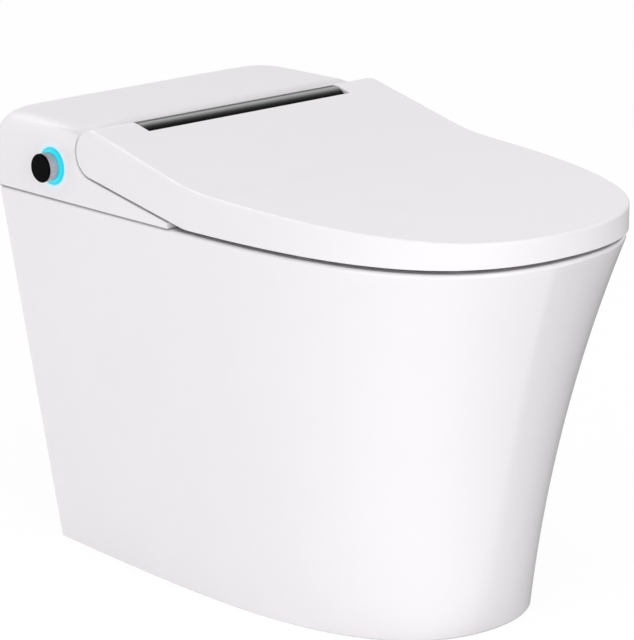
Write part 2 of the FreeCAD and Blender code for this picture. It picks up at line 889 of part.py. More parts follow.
# Rear cover: a moulded shell with a cradle for the hinge roll and a wedge under each lid arm
def cover_profile(inset, front, level):
    cradle = size("roll_radius + cradle_gap") + inset
    slope_end = on_roll(cradle, 180 - size("ramp_angle"))
    tip = at(REAR - size("wedge_reach"), RIM + size("wedge_tip") - inset)
    rise = (slope_end.z - tip.z) / (slope_end.y - tip.y)
    nose = at(front, tip.z + rise * (front - tip.y))
    top = RIM + size("cover_height") - inset
    crest = size("cover_nose_round") - inset
    brow = at(HINGE_Y + cradle, top - crest)
    bow = crest * (1 - math.sqrt(0.5))
    edges = lines([at(front, level), nose, slope_end])
    edges.append(Part.Arc(slope_end, on_roll(cradle, 125), on_roll(cradle, 90)).toShape())
    edges += lines([on_roll(cradle, 90), brow])
    edges.append(Part.Arc(brow, at(brow.y + bow, top - bow), at(brow.y + crest, top)).toShape())
    back = [at(brow.y + crest, top), at(REAR - inset, top), at(REAR - inset, level), at(front, level)]
    return edges + lines(back)


FRONT_WALL = REAR - size("front_wall_reach")
WAND_Z = RIM + size("wand_rise")


def wand_rod(radius, start, length):
    """A cylinder on the wand's tilted line; distances run back from the front wall."""
    tilt = math.radians(size("wand_tilt"))
    back = Vector(0, math.cos(tilt), math.sin(tilt))
    return Part.makeCylinder(radius, length, Vector(0, FRONT_WALL, WAND_Z) + back * start, back)


def saddle():
    """Ribs that carry the display barrel from behind and below."""
    half = size("arm_inner - saddle_inset")
    ring = cross_rod(size("roll_radius + cradle_gap + cover_wall / 2"), -half, half)
    ring = ring.cut(cross_rod(size("barrel_radius + soft_gap"), -half, half))
    reach = size("roll_radius") * 2
    points = [at(HINGE_Y, HINGE_Z)] + [on_roll(reach, angle) for angle in (100, 140, 180)]
    face = Part.Face(Part.Wire(lines(points + points[:1])))
    face.translate(Vector(-half, 0, 0))
    return ring.common(face.extrude(Vector(2 * half, 0, 0)))


def half_width_at(y):
    """Half width of the rim outline at a station of its side."""
    share = (REAR - y) / size("rim_mid_reach")
    return size("rim_half_rear") + size("rim_half_mid - rim_half_rear") * math.sin(share * math.pi / 2)


KNOB_Y = REAR - size("knob_reach")
KNOB_Z = RIM + size("knob_rise")
KNOB_X = -half_width_at(KNOB_Y)


def edge_draw(radius, drop):
    """How far a rounded edge draws in at a drop below its top."""
    if drop >= radius:
        return 0
    return radius - math.sqrt(radius ** 2 - (radius - drop) ** 2)


def cover_block(inset):
    """The cover's plan drawn up, its top edge rounded in bands: wide at the sides, tight at the rear."""
    corner = size("rear_corner_round")
    side_round = size("cover_side_round") - inset
    rear_round = size("cover_rear_round") - inset
    top = RIM + size("cover_height") - inset
    sections = [plan_wire(inset, 0, 0, RIM - 1, corner)]
    for step in range(7):
        drop = side_round * (1 - math.sin(math.radians(15 * step)))
        across = edge_draw(side_round, drop)
        along = edge_draw(rear_round, drop)
        turn = corner + across * size("cover_corner_growth")
        sections.append(plan_wire(inset + along, along - across, 0, top - drop, turn))
    return Part.makeLoft(sections, True, True)


def make_cover():
    width = size("rim_half_mid") + BEYOND
    high = HINGE_Z + BEYOND
    wall = size("cover_wall")
    tip = REAR - size("wedge_reach")
    outer = side_prism(cover_profile(0, tip, RIM), width).common(cover_block(0))
    inner = side_prism(cover_profile(wall, FRONT_WALL + wall, RIM - 1), width).common(cover_block(wall))
    arms = size("rim_half_rear - arm_thick")
    between = slab(-arms, arms, tip - 1, FRONT_WALL, RIM - 1, high)
    duct = size("duct_width / 2")
    middle = size("duct_side")
    vent = slab(middle - duct, middle + duct, FRONT_WALL - 1, FRONT_WALL + 2 * wall,
                size(PLATE_TOP), size(PLATE_TOP) + size("duct_height"))
    port = wand_rod(size("wand_dia / 2 + port_gap"), -BEYOND, BEYOND + 2 * wall)
    ring = Part.makeCylinder(size("ring_dia / 2 + ring_fit"), BEYOND / 2,
                             Vector(KNOB_X - wall, KNOB_Y, KNOB_Z), Vector(1, 0, 0))
    shell = outer.cut(inner).cut(between).cut(vent).cut(port).cut(ring)
    return shell.fuse(saddle()).removeSplitter()


formed("rear_cover", make_cover())

# Display barrel: a gloss tube on the hinge line with a lamp board and a damper in each end
turned("display_barrel", [
    ("barrel_radius - barrel_wall", "-barrel_half_length"),
    ("barrel_radius", "-barrel_half_length"),
    ("barrel_radius", "barrel_half_length"),
    ("barrel_radius - barrel_wall", "barrel_half_length"),
], ("0", *HINGE), "x")
lamp_half = "(barrel_half_length - damper_length - soft_gap)"
lamp_deep = "(barrel_radius - barrel_wall - 3 * board_thick)"
block("display_board",
      ("-" + lamp_half, HINGE[0] + " - " + lamp_deep, HINGE[1]),
      ("2 * " + lamp_half, "2 * " + lamp_deep, "board_thick"))
for side, axis in (("left", "-x"), ("right", "x")):
    turned("hinge_damper_" + side, [
        ("0", "barrel_half_length - damper_length"),
        ("barrel_radius - barrel_wall - damper_fit", "barrel_half_length - damper_length"),
        ("barrel_radius - barrel_wall - damper_fit", "barrel_half_length"),
        ("pin_dia / 2", "barrel_half_length"),
        ("pin_dia / 2", "boss_inner + pin_depth - 1"),
        ("0", "boss_inner + pin_depth - 1"),
    ], ("0", *HINGE), axis)

# Chassis: a plate on the china deck with a tub that hangs into the rear bay
plate = block("chassis_plate",
              ("-plate_half_width", "rear_setback - plate_front_reach", "rim_height"),
              ("2 * plate_half_width", "plate_front_reach - plate_rear_reach", "plate_thick"))
tub_at = ("tub_gap - bay_half_width", "rear_setback - bay_front_reach + tub_gap")
tub_spans = ("bay_half_width - tub_gap + tub_right", "bay_front_reach - bay_rear_reach - 2 * tub_gap")
tub = block("chassis_tub", (*tub_at, "rim_height - tub_depth"), (*tub_spans, "tub_depth"))
hollow_at = (tub_at[0] + " + tub_wall", tub_at[1] + " + tub_wall", "rim_height - tub_depth + tub_wall")
hollow_spans = (tub_spans[0] + " - 2 * tub_wall", tub_spans[1] + " - 2 * tub_wall")
hollow = block("chassis_hollow", hollow_at, (*hollow_spans, "tub_depth + plate_thick"))
tools = [hollow]
screws = []
for side, hand in ((1, "right"), (-1, "left")):
    for place, along in SCREW_LINES.items():
        tag = "%s_%s" % (place, hand)
        across = "%d * (plate_half_width - screw_inset)" % side
        under = (across, along, PLATE_TOP + " - screw_length")
        tools.append(rod("plate_hole_" + tag, "screw_dia / 2 + pin_fit", "screw_length", under))
        shank = rod("screw_shank_" + tag, "screw_dia / 2", "screw_length", under)
        head = rod("screw_head_" + tag, "screw_head_dia / 2", "screw_head", (across, along, PLATE_TOP))
        screws.append(joined("screw_" + tag, [shank, head]))
less("chassis", joined("chassis_form", [plate, tub]), joined("chassis_cuts", tools))
group("chassis_screws", screws)

# Equipment shelf over the tub
block("equipment_shelf",
      ("-shelf_left", tub_at[1] + " - shelf_lap", PLATE_TOP),
      ("shelf_left + shelf_right", tub_spans[1] + " + 2 * shelf_lap", "shelf_thick"))
SHELF_TOP = PLATE_TOP + " + shelf_thick"
TUB_FLOOR = "rim_height - tub_depth + tub_wall"
TUB_REAR = "rear_setback - bay_rear_reach - tub_gap"


def padded(name, corners, length, at):
    """An upright piece: a plan outline drawn up."""
    body = doc.addObject("PartDesign::Body", name)
    pad = body.newObject("PartDesign::Pad", name + "_pad")
    pad.Profile = (outline_sketch(body, name + "_plan", "XY_Plane", corners), [""])
    bind(pad, Length=length)
    return put(body, at)


# Water side: booster tank and pump in the tub, inlet and cable gland through its rear wall
tank_deep = tub_spans[1] + " - 2 * tub_wall - 2 * tank_gap"
padded("booster_tank", [
    ("2 * tank_gap", "0"),
    ("tank_width - 2 * tank_gap", "0"),
    ("tank_width", "2 * tank_gap"),
    ("tank_width", tank_deep + " - 2 * tank_gap"),
    ("tank_width - 2 * tank_gap", tank_deep),
    ("2 * tank_gap", tank_deep),
    ("0", tank_deep + " - 2 * tank_gap"),
    ("0", "2 * tank_gap"),
], "tank_height", (tub_at[0] + " + tub_wall + tank_gap", tub_at[1] + " + tub_wall + tank_gap", TUB_FLOOR))
turned("booster_pump", [
    ("0", "0"),
    ("pump_dia / 2", "0"),
    ("pump_dia / 2", "pump_length / 3"),
    ("pump_dia / 2.4", "pump_length / 3"),
    ("pump_dia / 2.4", "pump_length * 0.9"),
    ("pump_dia / 5", "pump_length * 0.9"),
    ("pump_dia / 5", "pump_length"),
    ("0", "pump_length"),
], ("pump_side", tub_at[1] + " + tub_wall + tank_gap", TUB_FLOOR + " + pump_dia / 2 + soft_gap"), "y")
turned("water_inlet", [
    ("inlet_dia / 3", "0"),
    ("inlet_dia * 0.7", "0"),
    ("inlet_dia * 0.7", "inlet_length / 6"),
    ("inlet_dia / 2", "inlet_length / 6"),
    ("inlet_dia / 2", "inlet_length"),
    ("inlet_dia / 3", "inlet_length"),
], ("inlet_side", TUB_REAR, "rim_height - inlet_drop"), "y")
turned("cable_gland", [
    ("gland_dia / 4", "0"),
    ("gland_dia * 0.75", "0"),
    ("gland_dia * 0.75", "gland_dia / 4"),
    ("gland_dia / 2", "gland_dia / 4"),
    ("gland_dia / 2.4", "gland_dia"),
    ("gland_dia / 4", "gland_dia"),
], ("gland_side", TUB_REAR, "rim_height - inlet_drop"), "y")

# Valve block with its coil, and the instant water heater, on the shelf
valve_at = ("valve_side - valve_width / 2", "rear_setback - bay_rear_reach - valve_depth", SHELF_TOP)
valve = block("valve_block", valve_at, ("valve_width", "valve_depth", "valve_height / 2"))
coil = rod("valve_coil", "valve_width / 2.5", "valve_height",
           ("valve_side", valve_at[1] + " + valve_width / 2", SHELF_TOP))
joined("inlet_valve", [valve, coil])
heater_at = ("heater_side - heater_width / 2", "rear_setback - bay_rear_reach - heater_depth", SHELF_TOP)
padded("instant_heater", [
    ("0", "0"),
    ("heater_width", "0"),
    ("heater_width", "heater_depth"),
    ("0", "heater_depth"),
], "heater_height", heater_at)

# Electronics: power supply and the control board on four posts
block("power_supply",
      ("supply_side - supply_width / 2", "rear_setback - bay_rear_reach - supply_depth", SHELF_TOP),
      ("supply_width", "supply_depth", "supply_height"))
control_at = ("control_side - control_width / 2", tub_at[1])
block("control_board",
      (*control_at, SHELF_TOP + " + control_lift"),
      ("control_width", "control_depth", "board_thick"))
posts = []
for row in (0, 1):
    for column in (0, 1):
        spot = (control_at[0] + " + standoff_dia + %d * (control_width - 2 * standoff_dia)" % column,
                control_at[1] + " + standoff_dia + %d * (control_depth - 2 * standoff_dia)" % row,
                SHELF_TOP)
        posts.append(rod("standoff_%d_%d" % (row, column), "standoff_dia / 2", "control_lift", spot))
group("board_standoffs", posts)

# Warm air dryer: fan housing, motor, wheel, duct and the flap in the front wall
FAN = ("fan_side", "rear_setback - fan_reach", PLATE_TOP)
case = turned("fan_case", [
    ("0", "0"),
    ("fan_radius", "0"),
    ("fan_radius", "fan_height"),
    ("fan_eye_dia / 2", "fan_height"),
    ("fan_eye_dia / 2", "fan_height - fan_wall"),
    ("fan_radius - fan_wall", "fan_height - fan_wall"),
    ("fan_radius - fan_wall", "fan_wall"),
    ("0", "fan_wall"),
], FAN, "z")
duct_low = "duct_side - duct_width / 2"
window = block("fan_window",
               (duct_low + " + duct_wall", FAN[1] + " - fan_radius - 1", PLATE_TOP + " + fan_wall"),
               ("duct_width - 2 * duct_wall", "fan_radius", "duct_height - fan_wall - duct_wall"))
less("fan_housing", case, window)
turned("fan_motor", [
    ("0", "fan_wall"),
    ("fan_motor_dia / 2", "fan_wall"),
    ("fan_motor_dia / 2", "fan_wall + fan_motor_height"),
    ("fan_shaft_dia / 2", "fan_wall + fan_motor_height"),
    ("fan_shaft_dia / 2", "fan_height - 2 * fan_wall"),
    ("0", "fan_height - 2 * fan_wall"),
], FAN, "z")


def make_fan_wheel():
    """A disc and hub with a ring of straight blades."""
    body = doc.addObject("PartDesign::Body", "fan_wheel")
    section = outline_sketch(body, "fan_wheel_section", "XZ_Plane", [
        ("fan_shaft_dia / 2 + stem_fit", "0"),
        ("wheel_radius", "0"),
        ("wheel_radius", "blade_thick"),
        ("wheel_hub_dia / 2", "blade_thick"),
        ("wheel_hub_dia / 2", "wheel_height * 0.7"),
        ("fan_shaft_dia / 2 + stem_fit", "wheel_height * 0.7"),
    ])
    disc = body.newObject("PartDesign::Revolution", "fan_wheel_disc")
    disc.Profile = (section, [""])
    disc.ReferenceAxis = (section, ["V_Axis"])
    disc.Angle = 360
    plan = outline_sketch(body, "fan_blade_plan", "XY_Plane", [
        ("wheel_radius - blade_length", "-blade_thick / 2"),
        ("wheel_radius - blade_thick / 2", "-blade_thick / 2"),
        ("wheel_radius - blade_thick / 2", "blade_thick / 2"),
        ("wheel_radius - blade_length", "blade_thick / 2"),
    ])
    blade = body.newObject("PartDesign::Pad", "fan_blade")
    blade.Profile = (plan, [""])
    bind(blade, Length="wheel_height")
    doc.recompute()
    ring = body.newObject("PartDesign::PolarPattern", "fan_blade_ring")
    ring.Originals = [blade]
    ring.Axis = (plan, ["N_Axis"])
    ring.Angle = 360
    bind(ring, Occurrences="blade_count")
    body.Tip = ring
    return put(body, (FAN[0], FAN[1], FAN[2] + " + fan_wall + fan_motor_height + 1"))


make_fan_wheel()
WALL_BACK = "rear_setback - front_wall_reach + cover_wall"
tube = block("duct_outside",
             (duct_low, WALL_BACK, PLATE_TOP),
             ("duct_width", "front_wall_reach - cover_wall - fan_reach - fan_radius / 2", "duct_height"))
bore = block("duct_inside",
             (duct_low + " + duct_wall", WALL_BACK + " - 1", PLATE_TOP + " + duct_wall"),
             ("duct_width - 2 * duct_wall", "front_wall_reach", "duct_height - 2 * duct_wall"))
round_end = rod("duct_round_end", "fan_radius + soft_gap", "fan_height * 2", (FAN[0], FAN[1], "rim_height"))
less("dryer_duct", tube, joined("duct_cuts", [bore, round_end]))
flap_y = "rear_setback - front_wall_reach + cover_wall / 2"
flap_top = PLATE_TOP + " + duct_height - flap_thick - flap_gap"
leaf = block("flap_leaf",
             (duct_low + " + flap_gap", flap_y + " - flap_thick / 2", PLATE_TOP + " + flap_gap"),
             ("duct_width - 2 * flap_gap", "flap_thick", "duct_height - flap_thick - 2 * flap_gap"))
bead = rod("flap_bead", "flap_thick * 0.8", "duct_width - 2 * flap_gap",
           (duct_low + " + flap_gap", flap_y, flap_top), "x")
joined("dryer_flap", [leaf, bead])

# Deodorizer: a carbon cartridge beside the duct
carbon_low = "(duct_side + duct_width / 2 + carbon_gap)"
carbon_width = "rim_half_rear - carbon_inset - " + carbon_low
padded("deodorizer_cartridge", [
    ("0", "0"),
    (carbon_width, "0"),
    (carbon_width, "carbon_depth"),
    ("0", "carbon_depth"),
], "carbon_height", (carbon_low, SCREW_LINES["front"] + " + screw_head_dia", PLATE_TOP))

# Washing wand on a tilted line, with its guide and drive motor
WAND = ("0", "rear_setback - front_wall_reach", "rim_height + wand_rise")
turned("nozzle_wand", [
    ("0", "tip_length"),
    ("wand_dia / 2", "tip_length"),
    ("wand_dia / 2", "wand_length"),
    ("0", "wand_length"),
], WAND, "wand")
turned("nozzle_tip", [
    ("0", "0"),
    ("wand_dia / 4", "0"),
    ("wand_dia * 0.42", "tip_length / 10"),
    ("wand_dia / 2", "tip_length / 3"),
    ("wand_dia / 2", "tip_length"),
    ("0", "tip_length"),
], WAND, "wand")


def make_guide():
    """A sleeve along the wand on a foot that stands on the shelf."""
    half = size("guide_width / 2")
    roof = size("wand_dia / 2 + guide_roof")
    start = size("guide_setback")
    sleeve = slab(-half, half, -roof, roof, start, start + size("guide_length"))
    sleeve.Placement = Placement(Vector(*[size(text) for text in WAND]), AXIS_TURNS["wand"])
    middle = sleeve.BoundBox.Center
    foot = slab(-half, half, middle.y - roof, middle.y + roof, size(SHELF_TOP), middle.z)
    return sleeve.fuse(foot).cut(wand_rod(size("wand_dia / 2 + wand_fit"), -BEYOND, BEYOND * 6))


formed("nozzle_guide", make_guide())
turned("nozzle_motor", [
    ("0", "guide_width / 2"),
    ("motor_dia / 4", "guide_width / 2"),
    ("motor_dia / 4", "guide_width / 2 + motor_length / 8"),
    ("motor_dia / 2", "guide_width / 2 + motor_length / 8"),
    ("motor_dia / 2", "guide_width / 2 + motor_length"),
    ("0", "guide_width / 2 + motor_length"),
], ("0", "rear_setback - motor_reach", SHELF_TOP + " + motor_dia / 2 + soft_gap"), "-x")

# Side knob: a lit ring in the cover wall, a sliding stem and a turning knob on it
SIDE = "-rim_half_rear - (rim_half_mid - rim_half_rear) * sin(90 * knob_reach / rim_mid_reach)"
KNOB = (SIDE, "rear_setback - knob_reach", "rim_height + knob_rise")
turned("led_ring", [
    ("ring_bore_dia / 2", "-ring_depth"),
    ("ring_dia / 2", "-ring_depth"),
    ("ring_dia / 2", "ring_proud / 2"),
    ("ring_dia / 2 - ring_proud / 2", "ring_proud"),
    ("ring_bore_dia / 2", "ring_proud"),
], KNOB, "-x")
turned("knob_encoder", [
    ("stem_dia / 2 + stem_fit", "-encoder_setback - encoder_length"),
    ("encoder_dia / 2", "-encoder_setback - encoder_length"),
    ("encoder_dia / 2", "-encoder_setback"),
    ("stem_dia / 2 + stem_fit", "-encoder_setback"),
], KNOB, "-x")
bracket = block("bracket_plate",
                (SIDE + " + encoder_setback + encoder_length", KNOB[1] + " - bracket_width / 2", PLATE_TOP),
                ("bracket_thick", "bracket_width", "knob_rise - plate_thick + encoder_dia / 2"))
bracket_hole = rod("bracket_hole", "stem_dia", "bracket_thick * 4",
                   (SIDE + " + encoder_setback + encoder_length - bracket_thick", *KNOB[1:]), "x")
less("knob_bracket", bracket, bracket_hole)
knob_end = "knob_gap + knob_length"
turned("knob_stem", [
    ("0", "-stem_length + knob_gap"),
    ("stem_dia / 2", "-stem_length + knob_gap"),
    ("stem_dia / 2", "knob_gap"),
    ("stem_shoulder_dia / 2", "knob_gap"),
    ("stem_shoulder_dia / 2", knob_end + " - knob_wall - stem_fit"),
    ("stem_dia / 2", knob_end + " - knob_wall - stem_fit"),
    ("stem_dia / 2", knob_end + " - stem_fit"),
    ("0", knob_end + " - stem_fit"),
], KNOB, "-x")
turned("knob_barrel", [
    ("knob_dia / 2 - knob_wall", "knob_gap"),
    ("knob_dia / 2", "knob_gap"),
    ("knob_dia / 2", knob_end),
    ("stem_dia / 2 + stem_fit", knob_end),
    ("stem_dia / 2 + stem_fit", knob_end + " - knob_wall"),
    ("knob_dia / 2 - knob_wall", knob_end + " - knob_wall"),
], KNOB, "-x")
turned("knob_cap", [
    ("0", knob_end),
    ("cap_dia / 2", knob_end),
    ("cap_dia / 2", knob_end + " + cap_thick * 0.5"),
    ("cap_dia / 2 - cap_thick * 0.3", knob_end + " + cap_thick * 0.85"),
    ("cap_dia / 2 - cap_thick * 0.8", knob_end + " + cap_thick"),
    ("0", knob_end + " + cap_thick"),
], KNOB, "-x")

NODES = [
    "ceramic_skirt", "ceramic_deck", "ceramic_bowl", "ceramic_sump", "trapway", "outlet_seal",
    "chassis", "chassis_screws", "equipment_shelf", "rear_cover", "display_barrel", "display_board",
    "hinge_damper_left", "hinge_damper_right", "booster_tank", "booster_pump", "water_inlet",
    "cable_gland", "inlet_valve", "instant_heater", "power_supply", "control_board", "board_standoffs",
    "fan_housing", "fan_motor", "fan_wheel", "dryer_duct", "dryer_flap", "deodorizer_cartridge",
    "nozzle_guide", "nozzle_motor", "nozzle_wand", "nozzle_tip", "led_ring", "knob_encoder",
    "knob_bracket", "knob_stem", "knob_barrel", "knob_cap", "seat_top", "seat_base", "seat_heater",
    "seat_bumpers", "lid_shell", "lid_bumpers",
]
doc.recompute()
failed = [item.Name for item in doc.Objects if "Invalid" in item.State or "Error" in item.State]
for node in NODES:
    shape = doc.getObject(node).Shape
    if shape.isNull() or not shape.isValid() or not shape.Solids:
        failed.append(node)
if failed:
    raise RuntimeError("not built: " + ", ".join(failed))
for node in NODES:
    doc.getObject(node).Shape.exportStep("parts/%s.step" % node)
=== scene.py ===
import bmesh
import bpy
import json
import math
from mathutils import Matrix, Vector


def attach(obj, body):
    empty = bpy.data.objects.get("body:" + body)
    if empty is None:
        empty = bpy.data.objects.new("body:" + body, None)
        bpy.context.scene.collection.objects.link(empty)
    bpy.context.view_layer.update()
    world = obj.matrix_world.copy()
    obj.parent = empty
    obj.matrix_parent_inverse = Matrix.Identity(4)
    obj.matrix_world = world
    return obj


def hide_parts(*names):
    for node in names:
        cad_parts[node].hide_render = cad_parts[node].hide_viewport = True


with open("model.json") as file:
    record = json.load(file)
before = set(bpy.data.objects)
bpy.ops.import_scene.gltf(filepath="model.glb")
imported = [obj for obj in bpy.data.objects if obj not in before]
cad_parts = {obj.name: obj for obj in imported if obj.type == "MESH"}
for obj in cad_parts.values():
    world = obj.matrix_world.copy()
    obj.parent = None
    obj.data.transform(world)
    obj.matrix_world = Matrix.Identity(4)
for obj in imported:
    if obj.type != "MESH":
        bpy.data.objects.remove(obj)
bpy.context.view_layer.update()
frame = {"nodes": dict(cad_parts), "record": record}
scene = bpy.context.scene
scene.view_settings.view_transform = "Standard"


# China. The skirt is slip-cast vitreous china under a thick white glaze, one lofted form from a narrow
# foot to a wide rim. It is open below and has a service opening in its flat rear wall. The deck, the
# bowl and the trapway are stuck to it before firing and carry the same glaze.
RIM = 0.400
CHINA_WALL = 0.014
RIM_ROUND = 0.005
FOOT = {"half_rear": 0.1315, "half_mid": 0.1477, "rear": 0.2875, "mid": 0.008, "tip": -0.242, "full": 0.663}
TOP = {"half_rear": 0.197, "half_mid": 0.1997, "rear": 0.299, "mid": -0.016, "tip": -0.336, "full": 0.72}
CORNER = 0.010
FLARE_SHARE = 0.29
FLARE_POWER = 2
SERVICE_HALF = 0.095
SERVICE_LOW = 0.120
SERVICE_HIGH = 0.366
INNER_LEVEL = 0.24
FOOT_BEVEL_HIGH = 0.0015
FOOT_BEVEL_IN = 0.0010
CORNER_STEPS = 8
SIDE_STEPS = 16
NOSE_STEPS = 40
LEVEL_STEPS = 40
ROUND_STEPS = 6
SHARP_EDGE = math.radians(30)
JOIN_WITHIN = 1e-5
FLAT_WITHIN = math.radians(0.2)


class Value:
    """A number inside a material; Python operators on it add Math nodes."""

    def __init__(self, finish, socket):
        self.finish = finish
        self.socket = socket

    def math(self, operation, first, second):
        return self.finish.node("ShaderNodeMath", {"operation": operation}, {0: first, 1: second})

    def __add__(self, other):
        return self.math("ADD", self, other)

    def __sub__(self, other):
        return self.math("SUBTRACT", self, other)

    def __mul__(self, other):
        return self.math("MULTIPLY", self, other)

    def __pow__(self, other):
        return self.math("POWER", self, other)

    def __rsub__(self, other):
        return self.math("SUBTRACT", other, self)

    __radd__ = __add__
    __rmul__ = __mul__


class Finish:
    """A material that is built node by node."""

    def __init__(self, name):
        self.material = bpy.data.materials.new(name)
        self.material.use_nodes = True
        self.nodes = self.material.node_tree.nodes
        self.links = self.material.node_tree.links
        self.nodes.clear()

    def node(self, kind, settings=None, sockets=None, output=0):
        """Add a node, set it up, feed its sockets and give one of its outputs."""
        node = self.nodes.new(kind)
        for name, setting in (settings or {}).items():
            setattr(node, name, setting)
        for name, content in (sockets or {}).items():
            if isinstance(content, Value):
                self.links.new(content.socket, node.inputs[name])
            else:
                node.inputs[name].default_value = content
        return Value(self, node.outputs[output]) if node.outputs else None

    def place(self, scale=(1, 1, 1)):
        """Object coordinates, stretched."""
        raw = self.node("ShaderNodeTexCoord", output="Object")
        return self.node("ShaderNodeMapping", None, {"Vector": raw, "Scale": scale})

    def noise(self, scale, detail=3, stretch=(1, 1, 1)):
        """Cloudy variation from 0 to 1."""
        return self.node("ShaderNodeTexNoise", None,
                         {"Vector": self.place(stretch), "Scale": scale, "Detail": detail})

    def blend(self, share, low, high):
        """A colour between two colours."""
        return self.node("ShaderNodeMix", {"data_type": "RGBA"},
                         {0: share, 6: (*low, 1), 7: (*high, 1)}, output=2)

    def along(self, place, way):
        """How far a place or a direction reaches along a way."""
        return self.node("ShaderNodeVectorMath", {"operation": "DOT_PRODUCT"}, {0: place, 1: way},
                         output="Value")

    def fall(self, value, low, high, top=1.0, bottom=0.0):
        """A soft step down from one level to another."""
        return self.node("ShaderNodeMapRange", {"interpolation_type": "SMOOTHSTEP"},
                         {"Value": value, "From Min": low, "From Max": high, "To Min": top, "To Max": bottom})

    def relief(self, height, depth, strength):
        """Surface relief of a depth in metres."""
        return self.node("ShaderNodeBump", None, {"Height": height, "Distance": depth, "Strength": strength})

    def rays(self):
        """Whether a ray is one that is seen, one that is mirrored and one that is let through."""
        kinds = ("Is Camera Ray", "Is Glossy Ray", "Is Transmission Ray")
        return [self.node("ShaderNodeLightPath", output=kind) for kind in kinds]

    def surface(self, **sockets):
        """Close the material with a Principled shader."""
        named = {name.replace("_", " "): content for name, content in sockets.items()}
        shader = self.node("ShaderNodeBsdfPrincipled", None, named)
        self.node("ShaderNodeOutputMaterial", None, {"Surface": shader})
        return self.material


def glaze():
    """White glaze: wet gloss, a faint long ripple and slightly thicker or thinner patches."""
    finish = Finish("white_glaze")
    pool = finish.noise(9, 2)
    ripple = finish.noise(26, 1)
    return finish.surface(
        Base_Color=finish.blend(pool, (0.858, 0.838, 0.856), (0.882, 0.862, 0.880)),
        Roughness=0.08 + pool * 0.04,
        IOR=1.5,
        Coat_Weight=0.80 + ripple * 0.2,
        Coat_Roughness=0.03,
        Normal=finish.relief(ripple, 0.0004, 0.25),
    )


GLAZE = glaze()


def cubic(start, leave, arrive, end, share):
    """A point on a cubic Bezier curve."""
    rest = 1 - share
    middle = 3 * leave * rest * rest * share + 3 * arrive * rest * share * share
    return start * rest ** 3 + middle + end * share ** 3


def plan_half(sizes, inset):
    """Half of a plan outline from the middle of the rear to the front tip."""
    rear = sizes["rear"] - inset
    half_rear = sizes["half_rear"] - inset
    half_mid = sizes["half_mid"] - inset
    mid = sizes["mid"]
    tip = sizes["tip"] + inset
    square = Vector((half_rear, rear))
    turn_in = Vector((half_rear - CORNER, rear))
    turn_out = Vector((half_rear, rear - CORNER))
    third = (turn_out.y - mid) / 3
    swell = half_rear + (half_mid - half_rear) / 2
    widest = Vector((half_mid, mid))
    points = [Vector((0, rear)), Vector((SERVICE_HALF / 2, rear)), Vector((SERVICE_HALF, rear))]
    for step in range(CORNER_STEPS):
        share = step / CORNER_STEPS
        rest = 1 - share
        points.append(turn_in * rest ** 2 + 2 * square * share * rest + turn_out * share * share)
    for step in range(SIDE_STEPS):
        points.append(cubic(turn_out, Vector((swell, turn_out.y - third)),
                            Vector((half_mid, mid + third)), widest, step / SIDE_STEPS))
    fore = Vector((half_mid, mid + (tip - mid) * sizes["full"]))
    brow = Vector((half_mid * sizes["full"], tip))
    for step in range(NOSE_STEPS + 1):
        points.append(cubic(widest, fore, brow, Vector((0, tip)), step / NOSE_STEPS))
    return points


def plan_ring(sizes, inset, level):
    """A closed plan outline at a level."""
    half = plan_half(sizes, inset)
    loop = half + [Vector((-point.x, point.y)) for point in half[-2:0:-1]]
    return [(point.x, point.y, level) for point in loop]


def china_ring(level, inset):
    """The china outline at a level, drawn in by an inset."""
    share = level / RIM
    swelling = share ** FLARE_POWER
    shares = dict.fromkeys(FOOT, share)
    shares["tip"] = FLARE_SHARE * share + (1 - FLARE_SHARE) * swelling
    shares["full"] = swelling
    sizes = {key: FOOT[key] + (TOP[key] - FOOT[key]) * shares[key] for key in FOOT}
    return plan_ring(sizes, inset, level)


def ring_mesh(rings, closed):
    """A mesh of quads between rings of the same count."""
    mesh = bmesh.new()
    rows = [[mesh.verts.new(point) for point in ring] for ring in rings]
    pairs = list(zip(rows, rows[1:]))
    if closed:
        pairs.append((rows[-1], rows[0]))
    for low, high in pairs:
        count = len(low)
        for spot in range(count):
            after = (spot + 1) % count
            mesh.faces.new((low[spot], low[after], high[after], high[spot]))
    return mesh


def piece(name, mesh, material):
    """An object from a bmesh, smooth but for its sharp edges."""
    data = bpy.data.meshes.new(name)
    mesh.to_mesh(data)
    mesh.free()
    for face in data.polygons:
        face.use_smooth = True
    data.set_sharp_from_angle(angle=SHARP_EDGE)
    data.materials.append(material)
    item = bpy.data.objects.new(name, data)
    scene.collection.objects.link(item)
    return item


def settle(item):
    """Apply the modifiers of an object, so that a plain mesh is left."""
    graph = bpy.context.evaluated_depsgraph_get()
    data = bpy.data.meshes.new_from_object(item.evaluated_get(graph))
    item.modifiers.clear()
    item.data = data
    return item


def even_normals(item):
    """Shade by the large faces, so that flat and curved stretches meet without dents."""
    weigh = item.modifiers.new("even", "WEIGHTED_NORMAL")
    weigh.keep_sharp = True
    return settle(item)


def fit(item, body, slot, *nodes):
    """Put a piece on its body in the place of CAD nodes."""
    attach(item, body)
    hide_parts(*nodes)


